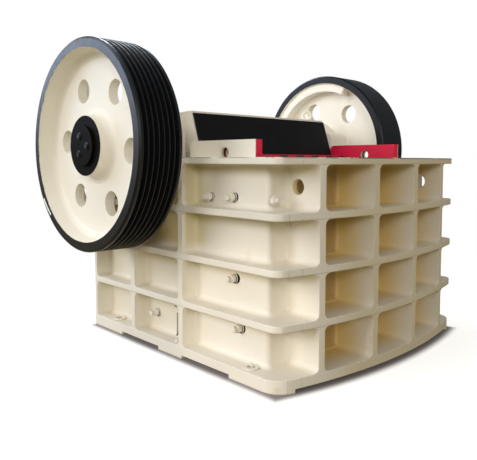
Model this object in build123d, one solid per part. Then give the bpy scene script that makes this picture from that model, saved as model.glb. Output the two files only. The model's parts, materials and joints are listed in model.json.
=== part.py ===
from build123d import *
from math import cos, radians, sin, sqrt, tan
import os

# Fine jaw crusher, feed mouth 250 by 1000 class, in millimetres.
# +Z is up, -Y is the ribbed front, the grooved belt wheel is on -X and the plain flywheel on +X.
# The origin is on the floor, at the centre of the four foundation holes.

# Crushing chamber
chamber_width = 1000.0
cheek_thickness = 40.0
jaw_base = 50.0
jaw_ridge = 35.0
ridge_pitch = 125.0
ridge_land = 45.0
ridge_foot = 85.0
gape = 328.0
jaw_tilt = 20.0
jaw_bottom_z = 110.0
fixed_jaw_drop = 3.0
moving_jaw_drop = 11.0
jaw_header = 12.0
jaw_side_gap = 12.0
ledge_reach = 55.0
ledge_height = 45.0

# Cast frame: walls, with horizontal plates and upright ribs outside them
tiers = 4
pocket_height = 182.0
plate_thickness = 28.0
base_thickness = 38.0
pad_height = 16.0
side_wall = 50.0
front_wall = 42.0
rear_wall = 40.0
front_reach = 170.0
side_reach = 82.0
rear_reach = 70.0
front_bow = 43.0
plate_corner = 60.0
base_corner = 100.0
rear_corner = 10.0
wall_corner = 22.0
pocket_fillet = 22.0
fillet_lip = 1.0
front_rib = 28.0
front_rib_count = 4
rear_rib = 28.0
rear_rib_count = 4
outer_rib_inset = 125.0
side_rib = 30.0
side_rib_offsets = (-363.5, 20.5)
end_rib = 30.0
wall_slot_offset = -234.5
wall_slot_width = 12.0
wall_slot_height = 98.0
wall_slot_rise = 12.0

# Foundation pads and holes, measured from the ends and sides of the frame
front_hole_inset = 229.0
rear_hole_inset = 180.0
side_hole_inset = 44.0
hole_radius = 17.0
boss_radius = 34.0
boss_height = 6.0
front_pad = 313.0
middle_pad = 177.0
middle_pad_offset = -280.0
rear_pad = 275.0

# Lifting hole in each outer front rib
lift_setback = 118.0
lift_drop = 117.0
lift_radius = 32.0

# Cheek plates
cheek_rise = 75.0
cheek_bottom_z = 130.0
cheek_rear_lap = 14.0
cheek_overlap = 40.0
cheek_corner = 32.0
cheek_hole_run = 189.0
cheek_hole_rise = 20.0
cheek_hole_radius = 24.0

# Eccentric shaft and its bearings
shaft_setback = 282.0
shaft_rise = 51.0
throw = 10.0
throw_angle = 234.0
journal_radius = 68.0
wheel_seat_radius = 58.0
crank_radius = 88.0
crank_overrun = 4.0
running_gap = 0.05
housing_radius = 183.0
housing_wall_gap = 5.0
housing_width = 155.0
housing_block_half = 240.0
housing_block_height = 151.0
housing_block_round = 40.0
cover_radius = 160.0
cover_thickness = 20.0
seat_gap = 0.3

# Lifting eye on each bearing housing
eye_offset = 58.0
eye_rise = 36.0
eye_ring = 35.0
eye_wire = 10.0
eye_sides = 8
eye_stem = 12.0
eye_stem_root = 5.0
eye_turn = -45.0

# Pitman, the moving jaw casting
slab_side_gap = 8.0
head_radius = 171.0
cavity_radius = 135.0
bearing_width = 110.0
head_rise = 222.0
head_tilt = 18.0
slab_thickness = 45.0
head_plate = 30.0
head_end_wall = 20.0
pitman_rib = 40.0
rib_meet_angle = 53.0
toe_reach = 45.0
toe_depth = 35.0

# Guard plate on the front of the pitman's head
guard_side_inset = 7.0
guard_thickness = 10.0
guard_rise = 15.0
guard_top_drop = 10.0

# Toggle plate, its seats and what they bear on
toggle_front_z = 330.0
toggle_length = 420.0
toggle_fall = 14.0
toggle_thickness = 34.0
toggle_end_radius = 22.0
toggle_side_gap = 100.0
seat_depth = 110.0
seat_height = 130.0
seat_lap = 27.5
open_gap = 5.0
block_length = 110.0
block_height = 150.0
shim_length = 50.0
beam_length = 45.0
beam_height = 160.0

# Tension rods and springs
rod_radius = 16.0
rod_pin_radius = 14.0
rod_end = 10.0
lug_radius = 48.0
lug_setback = 102.5
lug_z = 118.0
fork_plate = 15.0
fork_gap = 10.0
fork_eye = 26.0
spring_length = 150.0
spring_radius = 42.0
spring_wire = 14.0
spring_seat_lip = 6.0
spring_side_gap = 9.0
washer_thickness = 12.0
nut_length = 28.0
nut_radius = 28.0

# Belt wheel and flywheel
wheel_radius = 479.0
wheel_width = 213.0
wheel_gap = 10.0
rim_setback = 7.0
rim_depth = 45.0
rim_draft = 14.0
rim_round = 8.0
web_thickness = 46.0
hub_radius = 138.0
hub_flare_reach = 32.0
hub_flare_height = 30.0
hub_flare_bend = 0.25
hub_recess = 24.0
web_hole_count = 6
web_hole_radius = 56.0
web_hole_circle = 284.0
web_hole_angle = 5.0
groove_count = 7
groove_pitch = 25.5
groove_top = 22.0
groove_depth = 20.0
groove_angle = 38.0
end_disc_radius = 135.0
end_disc_thickness = 3.0
end_cap_radius = 92.0
end_cap_thickness = 14.0

# Counterweight inside the rim of each wheel, opposite the crank throw
weight_thickness = 36.0
weight_width = 70.0
weight_span = 120.0

# Places across the machine
wall_inner_x = chamber_width / 2 + cheek_thickness
wall_outer_x = wall_inner_x + side_wall
side_x = wall_outer_x + side_reach
outer_rib_x = wall_outer_x - outer_rib_inset
hole_x = side_x - side_hole_inset
pitman_half = chamber_width / 2 - jaw_side_gap
slab_half = chamber_width / 2 - slab_side_gap
barrel_half = wall_inner_x - slab_side_gap
housing_inner_x = wall_inner_x + housing_wall_gap
housing_outer_x = housing_inner_x + housing_width
cover_outer_x = housing_outer_x + cover_thickness
hub_inner_x = cover_outer_x + wheel_gap
wheel_inner_x = hub_inner_x + rim_setback
wheel_outer_x = wheel_inner_x + wheel_width
hub_outer_x = wheel_outer_x - hub_recess
wheel_middle_x = (wheel_inner_x + wheel_outer_x) / 2
rim_inner_radius = wheel_radius - rim_depth
spring_seat_radius = spring_radius + spring_seat_lip
rod_x = outer_rib_x / (rear_rib_count - 1) + rear_rib / 2 + spring_seat_radius + spring_side_gap

# Heights
tier_height = pocket_height + plate_thickness
base_z = pad_height + base_thickness
deck_z = base_z + tiers * tier_height
shaft_z = deck_z + shaft_rise
head_top_z = deck_z + head_rise
guard_bottom_z = deck_z + guard_rise
guard_top_z = head_top_z - guard_top_drop

# Distances back from the front edges of the two outer front ribs
jaw_run = (jaw_base + jaw_ridge) / cos(radians(jaw_tilt))
crest_back = front_reach + front_wall + jaw_base + jaw_ridge
bend_back = crest_back + gape + jaw_run
toggle_root_back = bend_back - tan(radians(jaw_tilt)) * (guard_bottom_z - toggle_front_z)
seat_back = toggle_root_back + slab_thickness + seat_depth + toggle_end_radius
toggle_rear_back = seat_back + toggle_length * cos(radians(toggle_fall))
block_back = toggle_rear_back - toggle_end_radius / 3
beam_back = block_back + block_length + shim_length
frame_length = beam_back + beam_length + rear_wall + rear_reach

# Places along Y
front_y = -(frame_length + front_hole_inset - rear_hole_inset) / 2
front_hole_y = front_y + front_hole_inset
rear_y = front_y + frame_length
rear_hole_y = rear_y - rear_hole_inset
wall_front_y = front_y + front_reach
chamber_front_y = wall_front_y + front_wall
crest_y = front_y + crest_back
wall_rear_y = rear_y - rear_reach
chamber_rear_y = wall_rear_y - rear_wall
shaft_y = front_y + bend_back + shaft_setback
crank_y = shaft_y + throw * cos(radians(throw_angle))
crank_z = shaft_z + throw * sin(radians(throw_angle))
bow_radius = (outer_rib_x**2 + front_bow**2) / (2 * front_bow)
beyond = frame_length + wheel_outer_x

made = {}


def keep(name, shape):
    """Store one node under its name."""
    made[name] = shape


def keep_pair(name, shape):
    """Store a node on the right and its mirror image on the left."""
    keep(name + "_right", shape)
    keep(name + "_left", mirrored(shape))


def block(x0, x1, y0, y1, z0, z1):
    """Box between three pairs of limits."""
    return Pos((x0 + x1) / 2, (y0 + y1) / 2, (z0 + z1) / 2) * Box(x1 - x0, y1 - y0, z1 - z0)


def side_profile(points, x0, x1, radii=None):
    """Prism from a (y, z) polygon between two x planes, with some corners rounded."""
    face = make_face(Polyline(*points, close=True))
    for (y, z), radius in (radii or {}).items():
        corner = face.vertices().sort_by_distance((y, z, 0))[0]
        face = fillet(corner, radius)
    plane = Plane(origin=(x0, 0, 0), x_dir=(0, 1, 0), z_dir=(1, 0, 0))
    return extrude(plane * face, amount=x1 - x0)


def rod_x_axis(radius, x0, x1, y, z):
    """Cylinder along X between two planes."""
    return Pos((x0 + x1) / 2, y, z) * Rot(0, 90, 0) * Cylinder(radius, x1 - x0)


def rod_y_axis(radius, y0, y1, x, z):
    """Cylinder along Y between two planes."""
    return Pos(x, (y0 + y1) / 2, z) * Rot(90, 0, 0) * Cylinder(radius, y1 - y0)


def turned(points):
    """Solid of revolution about the shaft axis from an (x, radius) outline."""
    face = make_face(Polyline(*points, close=True))
    return Pos(0, shaft_y, shaft_z) * revolve(face, Axis.X)


def mirrored(shape):
    """The same shape on the other side of the centre plane."""
    return mirror(shape, Plane.YZ)


def joined(shapes):
    """One part from a list of shapes."""
    whole = shapes[0]
    for shape in shapes[1:]:
        whole = whole + shape
    return whole


def group(shapes):
    """Several solids that don't touch, kept as one node."""
    solids = []
    for shape in shapes:
        solids.extend(shape.solids())
    return Compound(children=solids)


def bow_y(x):
    """Y of the bowed front edge at a given x."""
    rise = bow_radius - sqrt(bow_radius**2 - x**2)
    return front_y - front_bow + rise


def plan_outline(corner):
    """Plan of the horizontal plates: a bowed front edge, straight sides and rounded corners."""
    left = (-side_x, bow_y(side_x))
    right = (side_x, bow_y(side_x))
    apex = (0, bow_y(0))
    edges = ThreePointArc(left, apex, right) + Polyline(right, (side_x, rear_y), (-side_x, rear_y), left)
    face = make_face(edges)
    face = fillet(face.vertices().group_by(Axis.Y)[-1], rear_corner)
    return fillet(face.vertices().group_by(Axis.Y)[0], corner)


def plan_prism(corner, z0, z1):
    """The plan outline raised between two levels."""
    return Pos(0, 0, z0) * extrude(plan_outline(corner), amount=z1 - z0)


def bars(corner, z0, z1):
    """Front, rear and right bars of one horizontal plate, around the outside of the walls."""
    plate = plan_prism(corner, z0, z1)
    front = plate & block(-beyond, beyond, -beyond, wall_front_y, z0, z1)
    rear = plate & block(-beyond, beyond, wall_rear_y, beyond, z0, z1)
    right = plate & block(wall_outer_x, beyond, wall_front_y, wall_rear_y, z0, z1)
    return front, rear, right


def tier_floor(tier):
    """Level of the plate top under one tier, counted from the base."""
    return base_z + tier * tier_height


def saddle_space():
    """Space that both bearing housings take out of the frame."""
    radius = housing_radius + seat_gap
    right = rod_x_axis(radius, wall_inner_x, cover_outer_x, shaft_y, shaft_z)
    return right + mirrored(right)


def frame_plates():
    """Top flange and three shelves, each as bars on the four sides."""
    space = saddle_space()
    front, rear, right = bars(plate_corner, deck_z - plate_thickness, deck_z)
    keep("top_flange_front", front)
    keep("top_flange_rear", rear)
    keep_pair("top_flange", right - space)
    shelves = [bars(plate_corner, tier_floor(level) - plate_thickness, tier_floor(level))
               for level in range(1, tiers)]
    keep("shelves_front", group([shelf[0] for shelf in shelves]))
    keep("shelves_rear", group([shelf[1] for shelf in shelves]))
    keep_pair("shelves", group([shelf[2] - space for shelf in shelves]))


def base_plates():
    """Base flange on pads, with raised rings round the foundation holes."""
    front, rear, right = bars(base_corner, 0, base_z)
    middle_pad_y = shaft_y + middle_pad_offset
    recesses = [
        block(-beyond, beyond, front_y + front_pad, middle_pad_y - middle_pad / 2, 0, pad_height),
        block(-beyond, beyond, middle_pad_y + middle_pad / 2, rear_y - rear_pad, 0, pad_height),
        block(-wall_outer_x, wall_outer_x, -beyond, beyond, 0, pad_height),
    ]
    for y in (front_hole_y, rear_hole_y):
        right = right + Pos(hole_x, y, base_z + boss_height / 2) * Cylinder(boss_radius, boss_height)
        right = right - Pos(hole_x, y, base_z / 2) * Cylinder(hole_radius, 2 * base_z)
    for recess in recesses:
        front = front - recess
        rear = rear - recess
        right = right - recess
    keep("base_flange_front", front)
    keep("base_flange_rear", rear)
    keep_pair("base_flange", right)


def flared(width):
    """Rib outline between two plates: its ends flare into the pocket corners by concave arcs."""
    half = width / 2
    wide = half + pocket_fillet
    low = fillet_lip
    high = pocket_height - fillet_lip
    bend = pocket_fillet * (1 - cos(radians(45)))
    edges = [
        Polyline((-wide, low), (-wide, 0), (wide, 0), (wide, low)),
        ThreePointArc((wide, low), (half + bend, low + bend), (half, low + pocket_fillet)),
        Line((half, low + pocket_fillet), (half, high - pocket_fillet)),
        ThreePointArc((half, high - pocket_fillet), (half + bend, high - bend), (wide, high)),
        Polyline((wide, high), (wide, pocket_height), (-wide, pocket_height), (-wide, high)),
        ThreePointArc((-wide, high), (-half - bend, high - bend), (-half, high - pocket_fillet)),
        Line((-half, high - pocket_fillet), (-half, low + pocket_fillet)),
        ThreePointArc((-half, low + pocket_fillet), (-half - bend, low + bend), (-wide, low)),
    ]
    return make_face(joined(edges))


def spread(count):
    """Places of evenly spaced ribs between the two outer ones."""
    return [outer_rib_x * (2 * index / (count - 1) - 1) for index in range(count)]


def front_ribs():
    """Upright ribs in front of the front wall, one length in each tier, with the lifting holes."""
    prism = plan_prism(plate_corner, 0, deck_z)
    lift_y = front_y + lift_setback
    lift_z = deck_z - lift_drop
    lift_hole = rod_x_axis(lift_radius, -side_x, side_x, lift_y, lift_z)
    places = spread(front_rib_count)
    ribs = []
    for tier in range(tiers):
        for x in places:
            plane = Plane(origin=(x, wall_front_y, tier_floor(tier)), x_dir=(1, 0, 0), z_dir=(0, -1, 0))
            rib = extrude(plane * flared(front_rib), amount=front_reach + front_bow) & prism
            if x in (places[0], places[-1]):
                rib = rib - lift_hole
            ribs.append(rib)
    keep("ribs_front", group(ribs))


def side_ribs():
    """Upright ribs outside each side wall, with the end rib at the rear corner."""
    space = saddle_space()
    ribs = []
    for tier in range(tiers):
        low = tier_floor(tier)
        for offset in side_rib_offsets:
            plane = Plane(origin=(wall_outer_x, shaft_y + offset, low), x_dir=(0, 1, 0), z_dir=(1, 0, 0))
            ribs.append(extrude(plane * flared(side_rib), amount=side_reach) - space)
        plane = Plane(origin=(wall_outer_x, rear_y - end_rib / 2, low), x_dir=(0, 1, 0), z_dir=(1, 0, 0))
        outline = plan_prism(plate_corner, low, low + pocket_height)
        ribs.append(extrude(plane * flared(end_rib), amount=side_reach) & outline)
    keep_pair("ribs", group(ribs))


def rear_ribs():
    """Upright ribs behind the rear wall."""
    ribs = []
    for tier in range(tiers):
        for x in spread(rear_rib_count):
            plane = Plane(origin=(x, rear_y, tier_floor(tier)), x_dir=(1, 0, 0), z_dir=(0, -1, 0))
            ribs.append(extrude(plane * flared(rear_rib), amount=rear_reach))
    keep("ribs_rear", group(ribs))


def end_walls():
    """Front wall with the ledge under the fixed jaw plate, and rear wall with slots for the rods."""
    front = block(-wall_inner_x, wall_inner_x, wall_front_y, chamber_front_y, pad_height, deck_z)
    ledge = block(-wall_inner_x, wall_inner_x, chamber_front_y, chamber_front_y + ledge_reach,
                  jaw_bottom_z - ledge_height, jaw_bottom_z)
    keep("front_wall", front + ledge)
    rear = block(-wall_inner_x, wall_inner_x, chamber_rear_y, wall_rear_y, pad_height, deck_z)
    for x in (-rod_x, rod_x):
        rear = rear - rod_y_axis(rod_radius + throw + open_gap, chamber_rear_y, wall_rear_y, x, rod_z())
    keep("rear_wall", rear)


def side_walls():
    """Side walls with saddles for the housings and a narrow slot, and in each tier a rounded front edge
    and a run past the rear wall to the end rib."""
    wall = block(wall_inner_x, wall_outer_x, wall_front_y, wall_rear_y, pad_height, deck_z) - saddle_space()
    slot_y = shaft_y + wall_slot_offset
    slot_z = base_z + wall_slot_rise
    wall = wall - block(wall_inner_x, wall_outer_x, slot_y - wall_slot_width / 2, slot_y + wall_slot_width / 2,
                        slot_z, slot_z + wall_slot_height)
    edge_x = wall_outer_x - wall_corner
    edge_y = wall_front_y + wall_corner
    for tier in range(tiers):
        low = tier_floor(tier)
        square = block(edge_x, wall_outer_x, wall_front_y, edge_y, low, low + pocket_height)
        round_edge = Pos(edge_x, edge_y, low + pocket_height / 2) * Cylinder(wall_corner, pocket_height)
        wall = wall - (square - round_edge)
        wall = wall + block(wall_inner_x, wall_outer_x, wall_rear_y, rear_y, low, low + pocket_height)
    keep_pair("side_wall", wall)


def jaw_section(half, ridges):
    """Plan section of a jaw plate lying on its back: a flat back and trapezium ridges."""
    points = [(-half, 0), (half, 0), (half, jaw_base)]
    for x in reversed(ridges):
        foot = ridge_foot / 2
        land = ridge_land / 2
        points += [(x + foot, jaw_base), (x + land, jaw_base + jaw_ridge)]
        points += [(x - land, jaw_base + jaw_ridge), (x - foot, jaw_base)]
    points.append((-half, jaw_base))
    return make_face(Polyline(*points, close=True))


def ridge_places(half, phase):
    """Centres of the whole ridges that fit a plate of this half width."""
    room = half - ridge_foot / 2
    count = int((room - phase) // ridge_pitch) + 1
    right = [phase + index * ridge_pitch for index in range(count)]
    left = [-x for x in right if x > 0]
    return sorted(set(left + right))


def fixed_jaw():
    """Upright ridged plate on the inside of the front wall, with flat margins under the cheek plates."""
    top = deck_z - fixed_jaw_drop
    plane = Plane(origin=(0, chamber_front_y, jaw_bottom_z), x_dir=(1, 0, 0), z_dir=(0, 0, 1))
    ridges = ridge_places(chamber_width / 2, 0)
    plate = extrude(plane * jaw_section(wall_inner_x, ridges), amount=top - jaw_bottom_z)
    margin = block(chamber_width / 2, wall_inner_x, chamber_front_y + jaw_base, crest_y, jaw_bottom_z, top)
    keep("fixed_jaw_plate", plate + margin + mirrored(margin))


def face_y(z):
    """Y of the pitman's front face, where the moving jaw plate lies, below the guard plate."""
    return front_y + bend_back - tan(radians(jaw_tilt)) * (guard_bottom_z - z)


def head_y(z):
    """Y of the pitman's front face above the lower edge of the guard plate."""
    return face_y(guard_bottom_z) + tan(radians(head_tilt)) * (z - guard_bottom_z)


def from_jaw_foot(forward, down):
    """Point square off the pitman's face and down along it, from the foot of the moving jaw plate."""
    y = face_y(jaw_bottom_z)
    tilt = radians(jaw_tilt)
    return (y - forward * cos(tilt) - down * sin(tilt), jaw_bottom_z + forward * sin(tilt) - down * cos(tilt))


def moving_jaw():
    """Ridged plate on the sloping front face of the pitman, with a plain header across its top."""
    tilt = radians(jaw_tilt)
    length = (deck_z - moving_jaw_drop - jaw_bottom_z) / cos(tilt)
    foot = (0, face_y(jaw_bottom_z), jaw_bottom_z)
    plane = Plane(origin=foot, x_dir=(1, 0, 0), z_dir=(0, sin(tilt), cos(tilt)))
    section = mirror(jaw_section(pitman_half, ridge_places(pitman_half, ridge_pitch / 2)), Plane.XZ)
    depth = jaw_base + jaw_ridge
    header = plane * Pos(0, -depth / 2, length - jaw_header / 2) * Box(2 * pitman_half, depth, jaw_header)
    keep("moving_jaw_plate", extrude(plane * section, amount=length) + header)


def cheek_plates():
    """Wear plates on the side walls, between the fixed jaw plate's margins and the pitman."""
    top_z = deck_z + cheek_rise
    rear = face_y(guard_bottom_z) + cheek_rear_lap
    points = [
        (crest_y, cheek_bottom_z), (crest_y, top_z), (rear, top_z), (rear, deck_z),
        (face_y(cheek_bottom_z) + cheek_overlap, cheek_bottom_z),
    ]
    plate = side_profile(points, chamber_width / 2, wall_inner_x, {(rear, top_z): cheek_corner})
    plate = plate - rod_x_axis(cheek_hole_radius, chamber_width / 2, wall_inner_x,
                               crest_y + cheek_hole_run, deck_z + cheek_hole_rise)
    keep_pair("cheek_plate", plate)


def housings():
    """Bearing housings in the saddles of the side walls, each with a block on the deck and a cover."""
    bore = journal_radius + running_gap
    body = turned([(housing_inner_x, bore), (housing_inner_x, housing_radius),
                   (housing_outer_x, housing_radius), (housing_outer_x, bore)])
    front = shaft_y - housing_block_half
    rear = shaft_y + housing_block_half
    top = deck_z + housing_block_height
    seat = side_profile([(front, deck_z), (front, top), (rear, top), (rear, deck_z)],
                        housing_inner_x, housing_outer_x,
                        {(front, top): housing_block_round, (rear, top): housing_block_round})
    core = rod_x_axis(bore, housing_inner_x, housing_outer_x, shaft_y, shaft_z)
    keep_pair("bearing_housing", body + (seat - core))
    cover = turned([(housing_outer_x, bore), (housing_outer_x, cover_radius),
                    (cover_outer_x, cover_radius), (cover_outer_x, bore)])
    keep_pair("bearing_cover", cover)


def lifting_eyes():
    """Ring eye with a short stem on top of each bearing housing."""
    x = housing_inner_x + eye_offset
    top = shaft_z + housing_radius
    flat = Rot(0, 0, 180 / eye_sides)
    wire = Plane.XZ * (Pos(eye_ring - eye_wire, 0) * flat * RegularPolygon(eye_wire, eye_sides))
    ring = Rot(0, 0, eye_turn) * Rot(90, 0, 0) * revolve(wire, Axis.Z)
    root = -eye_rise - eye_stem_root
    stem = Pos(0, 0, root) * extrude(Circle(eye_stem), amount=1.5 * eye_wire - eye_ring - root)
    eye = Pos(x, shaft_y, top + eye_rise) * (ring + stem)
    eye = eye - rod_x_axis(housing_radius, housing_inner_x, housing_outer_x, shaft_y, shaft_z)
    keep("lifting_eyes", group([eye, mirrored(eye)]))


def crank(radius, half):
    """Cylinder about the crank's own axis."""
    return rod_x_axis(radius, -half, half, crank_y, crank_z)


def shaft():
    """Eccentric shaft: a crank section in the pitman, journals and wheel seats."""
    journals = rod_x_axis(journal_radius, -hub_inner_x, hub_inner_x, shaft_y, shaft_z)
    seats = rod_x_axis(wheel_seat_radius, -hub_outer_x, hub_outer_x, shaft_y, shaft_z)
    keep("eccentric_shaft", crank(crank_radius, barrel_half + crank_overrun) + journals + seats)


def seat_centre():
    """Centre of the toggle plate's front end, at the middle of the pitman's small circle."""
    return front_y + seat_back, toggle_front_z


def rest_seat():
    """Centre of the pitman's toggle seat at rest, off the toggle's end by the throw."""
    y, z = seat_centre()
    return y + throw * cos(radians(throw_angle)), z + throw * sin(radians(throw_angle))


def rod_z():
    """Level of the tension rods, at the middle of the small circle of the pitman's lugs."""
    return lug_z - throw * sin(radians(throw_angle))


def lug_y():
    """Place of the pitman's rod lugs, behind its front face."""
    return face_y(lug_z) + lug_setback


def pitman_ribs(slab_run, seat_low, seat_high, seat_rear):
    """Five upright ribs between the pitman's slab, barrel and toggle seat."""
    meet = radians(rib_meet_angle)
    outline = [
        from_jaw_foot(0, 0), (face_y(guard_bottom_z), guard_bottom_z), (head_y(head_top_z), head_top_z),
        (crank_y, crank_z + head_radius),
        (crank_y + head_radius * cos(meet), crank_z - head_radius * sin(meet)),
        (seat_rear, seat_high), (seat_rear, seat_low), (face_y(jaw_bottom_z) + slab_run, jaw_bottom_z),
    ]
    outer = pitman_half - pitman_rib / 2
    return joined([side_profile(outline, x - pitman_rib / 2, x + pitman_rib / 2)
                   for x in (-outer, -rod_x, 0, rod_x, outer)])


def pitman_lugs():
    """Arms with an eye for each tension rod, low on the back of the pitman."""
    lugs = []
    for x in (-rod_x, rod_x):
        near = x - pitman_rib / 2
        far = x + pitman_rib / 2
        eye = rod_x_axis(lug_radius, near, far, lug_y(), lug_z)
        arm = block(near, far, face_y(jaw_bottom_z) + slab_thickness / 2, lug_y(),
                    lug_z - lug_radius / 2, lug_z + lug_radius)
        hole = rod_x_axis(rod_pin_radius + throw + open_gap, near, far, lug_y(), lug_z)
        lugs.append((eye + arm) - hole)
    return lugs[0] + lugs[1]


def pitman():
    """Moving jaw casting: front slab with a toe, barrel for the crank, ribs, toggle seat and rod lugs."""
    slab_run = slab_thickness / cos(radians(jaw_tilt))
    bend_y = face_y(guard_bottom_z)
    lower = side_profile([
        from_jaw_foot(0, toe_depth), from_jaw_foot(toe_reach, toe_depth), from_jaw_foot(toe_reach, 0),
        from_jaw_foot(0, 0), (bend_y, guard_bottom_z), (bend_y + slab_run, guard_bottom_z),
        from_jaw_foot(-slab_thickness, toe_depth),
    ], -pitman_half, pitman_half)
    crown = crank_z + head_radius
    upper = side_profile([
        (bend_y, guard_bottom_z), (head_y(head_top_z), head_top_z),
        (head_y(head_top_z) + slab_run, head_top_z), (bend_y + slab_run, guard_bottom_z),
    ], -slab_half, slab_half)
    roof = side_profile([
        (head_y(head_top_z), head_top_z), (crank_y, crown), (crank_y, crown - head_plate),
        (head_y(head_top_z - head_plate), head_top_z - head_plate),
    ], -slab_half, slab_half)
    seat_y, seat_z = rest_seat()
    seat_low = seat_z - seat_height / 2
    seat_high = seat_z + seat_height / 2
    seat_rear = seat_y - toggle_end_radius
    seat = side_profile([
        (face_y(seat_low), seat_low), (seat_rear + seat_lap, seat_low),
        (seat_rear + seat_lap, seat_high), (face_y(seat_high), seat_high),
    ], -pitman_half, pitman_half)
    end_wall = side_profile([
        (bend_y, guard_bottom_z), (head_y(head_top_z), head_top_z), (crank_y, crown), (crank_y, crank_z),
    ], slab_half - head_end_wall, slab_half)
    casting = lower + upper + roof + crank(head_radius, barrel_half) + seat + end_wall + mirrored(end_wall)
    casting = casting + pitman_ribs(slab_run, seat_low, seat_high, seat_rear) + pitman_lugs()
    groove_radius = toggle_end_radius + throw + open_gap
    casting = casting - rod_x_axis(groove_radius, -pitman_half, pitman_half, seat_y, seat_z)
    casting = casting - crank(cavity_radius, barrel_half - bearing_width)
    keep("pitman", casting - crank(crank_radius + running_gap, barrel_half))


def guard():
    """Flat plate that covers the front of the pitman's head."""
    run = guard_thickness / cos(radians(head_tilt))
    half = slab_half - guard_side_inset
    keep("guard_plate", side_profile([
        (head_y(guard_bottom_z), guard_bottom_z), (head_y(guard_top_z), guard_top_z),
        (head_y(guard_top_z) - run, guard_top_z), (head_y(guard_bottom_z) - run, guard_bottom_z),
    ], -half, half))


def toggle():
    """Toggle plate, its adjusting block, the shims and the beam they bear on."""
    y0, z0 = seat_centre()
    fall = radians(toggle_fall)
    y1 = front_y + toggle_rear_back
    z1 = z0 - toggle_length * sin(fall)
    half = wall_inner_x - toggle_side_gap
    across = (toggle_thickness / 2 * sin(fall), toggle_thickness / 2 * cos(fall))
    web = side_profile([
        (y0 + across[0], z0 + across[1]), (y1 + across[0], z1 + across[1]),
        (y1 - across[0], z1 - across[1]), (y0 - across[0], z0 - across[1]),
    ], -half, half)
    front_end = rod_x_axis(toggle_end_radius, -half, half, y0, z0)
    rear_end = rod_x_axis(toggle_end_radius, -half, half, y1, z1)
    keep("toggle_plate", web + front_end + rear_end)
    width = wall_inner_x - seat_gap
    low = z1 - block_height / 2
    high = z1 + block_height / 2
    front = front_y + block_back
    middle = front + block_length
    rear = middle + shim_length
    socket = rod_x_axis(toggle_end_radius + seat_gap, -width, width, y1, z1)
    keep("toggle_block", block(-width, width, front, middle, low, high) - socket)
    keep("toggle_shims", block(-width, width, middle, rear, low, high))
    keep("toggle_beam", block(-wall_inner_x, wall_inner_x, rear, chamber_rear_y,
                              z1 - beam_height / 2, z1 + beam_height / 2))


def tension_rod(x):
    """One rod with its fork and pin in front, and a washer and two nuts behind its spring."""
    z = rod_z()
    pin_y = lug_y() - throw * cos(radians(throw_angle))
    root = pin_y + fork_eye + lug_radius + open_gap + throw
    washer_y = wall_rear_y + washer_thickness + spring_length
    nut_y = washer_y + washer_thickness
    nut_rear = nut_y + 2 * nut_length
    inner = pitman_rib / 2 + fork_gap
    outer = inner + fork_plate
    pieces = [
        rod_y_axis(rod_radius, root, nut_rear + rod_end, x, z),
        block(x - outer, x + outer, root - fork_eye, root, z - fork_eye, z + fork_eye),
        rod_x_axis(rod_pin_radius, x - outer, x + outer, pin_y, z),
        rod_y_axis(spring_radius, washer_y, nut_y, x, z),
        rod_y_axis(nut_radius, nut_y, nut_rear, x, z),
    ]
    for near, far in ((x - outer, x - inner), (x + inner, x + outer)):
        pieces.append(rod_x_axis(fork_eye, near, far, pin_y, z))
        pieces.append(block(near, far, pin_y, root, z - fork_eye, z + fork_eye))
    return joined(pieces)


def tension_spring(x):
    """One spring as a sleeve, with its seat washer against the rear wall."""
    z = rod_z()
    seat_rear = wall_rear_y + washer_thickness
    spring_rear = seat_rear + spring_length
    seat = rod_y_axis(spring_seat_radius, wall_rear_y, seat_rear, x, z)
    coil = rod_y_axis(spring_radius, seat_rear, spring_rear, x, z)
    return (seat + coil) - rod_y_axis(spring_radius - spring_wire, wall_rear_y, spring_rear, x, z)


def tension_gear():
    """Both tension rods and both springs."""
    keep("tension_rods", group([tension_rod(x) for x in (-rod_x, rod_x)]))
    keep("tension_springs", group([tension_spring(x) for x in (-rod_x, rod_x)]))


def wheel_outline():
    """Outline of a wheel without its grooves: rim, dished web, and a hub that flares into the web."""
    web_in = wheel_middle_x - web_thickness / 2
    web_out = wheel_middle_x + web_thickness / 2
    root = rim_inner_radius - rim_draft
    bend_radius = hub_radius + hub_flare_bend * hub_flare_reach
    bend = hub_flare_bend * hub_flare_height
    return [
        (hub_inner_x, wheel_seat_radius),
        (hub_inner_x, hub_radius),
        (web_in - hub_flare_height, hub_radius),
        (web_in - bend, bend_radius),
        (web_in, hub_radius + hub_flare_reach),
        (web_in, root),
        (wheel_inner_x, rim_inner_radius),
        (wheel_inner_x, wheel_radius - rim_round),
        (wheel_inner_x + rim_round, wheel_radius),
        (wheel_outer_x - rim_round, wheel_radius),
        (wheel_outer_x, wheel_radius - rim_round),
        (wheel_outer_x, rim_inner_radius),
        (web_out, root),
        (web_out, hub_radius + hub_flare_reach),
        (web_out + bend, bend_radius),
        (web_out + hub_flare_height, hub_radius),
        (hub_outer_x, hub_radius),
        (hub_outer_x, wheel_seat_radius),
    ]


def with_holes(wheel):
    """Round holes through the web."""
    for index in range(web_hole_count):
        angle = radians(web_hole_angle + index * 360 / web_hole_count)
        y = shaft_y + web_hole_circle * cos(angle)
        z = shaft_z + web_hole_circle * sin(angle)
        wheel = wheel - rod_x_axis(web_hole_radius, wheel_inner_x, wheel_outer_x, y, z)
    return wheel


def groove(x):
    """One V groove of the belt wheel as a ring to cut away."""
    flank = tan(radians(groove_angle / 2))
    top = groove_top / 2
    bottom = top - groove_depth * flank
    return turned([
        (x - top, wheel_radius), (x - top, wheel_radius + groove_depth), (x + top, wheel_radius + groove_depth),
        (x + top, wheel_radius), (x + bottom, wheel_radius - groove_depth),
        (x - bottom, wheel_radius - groove_depth),
    ])


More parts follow.
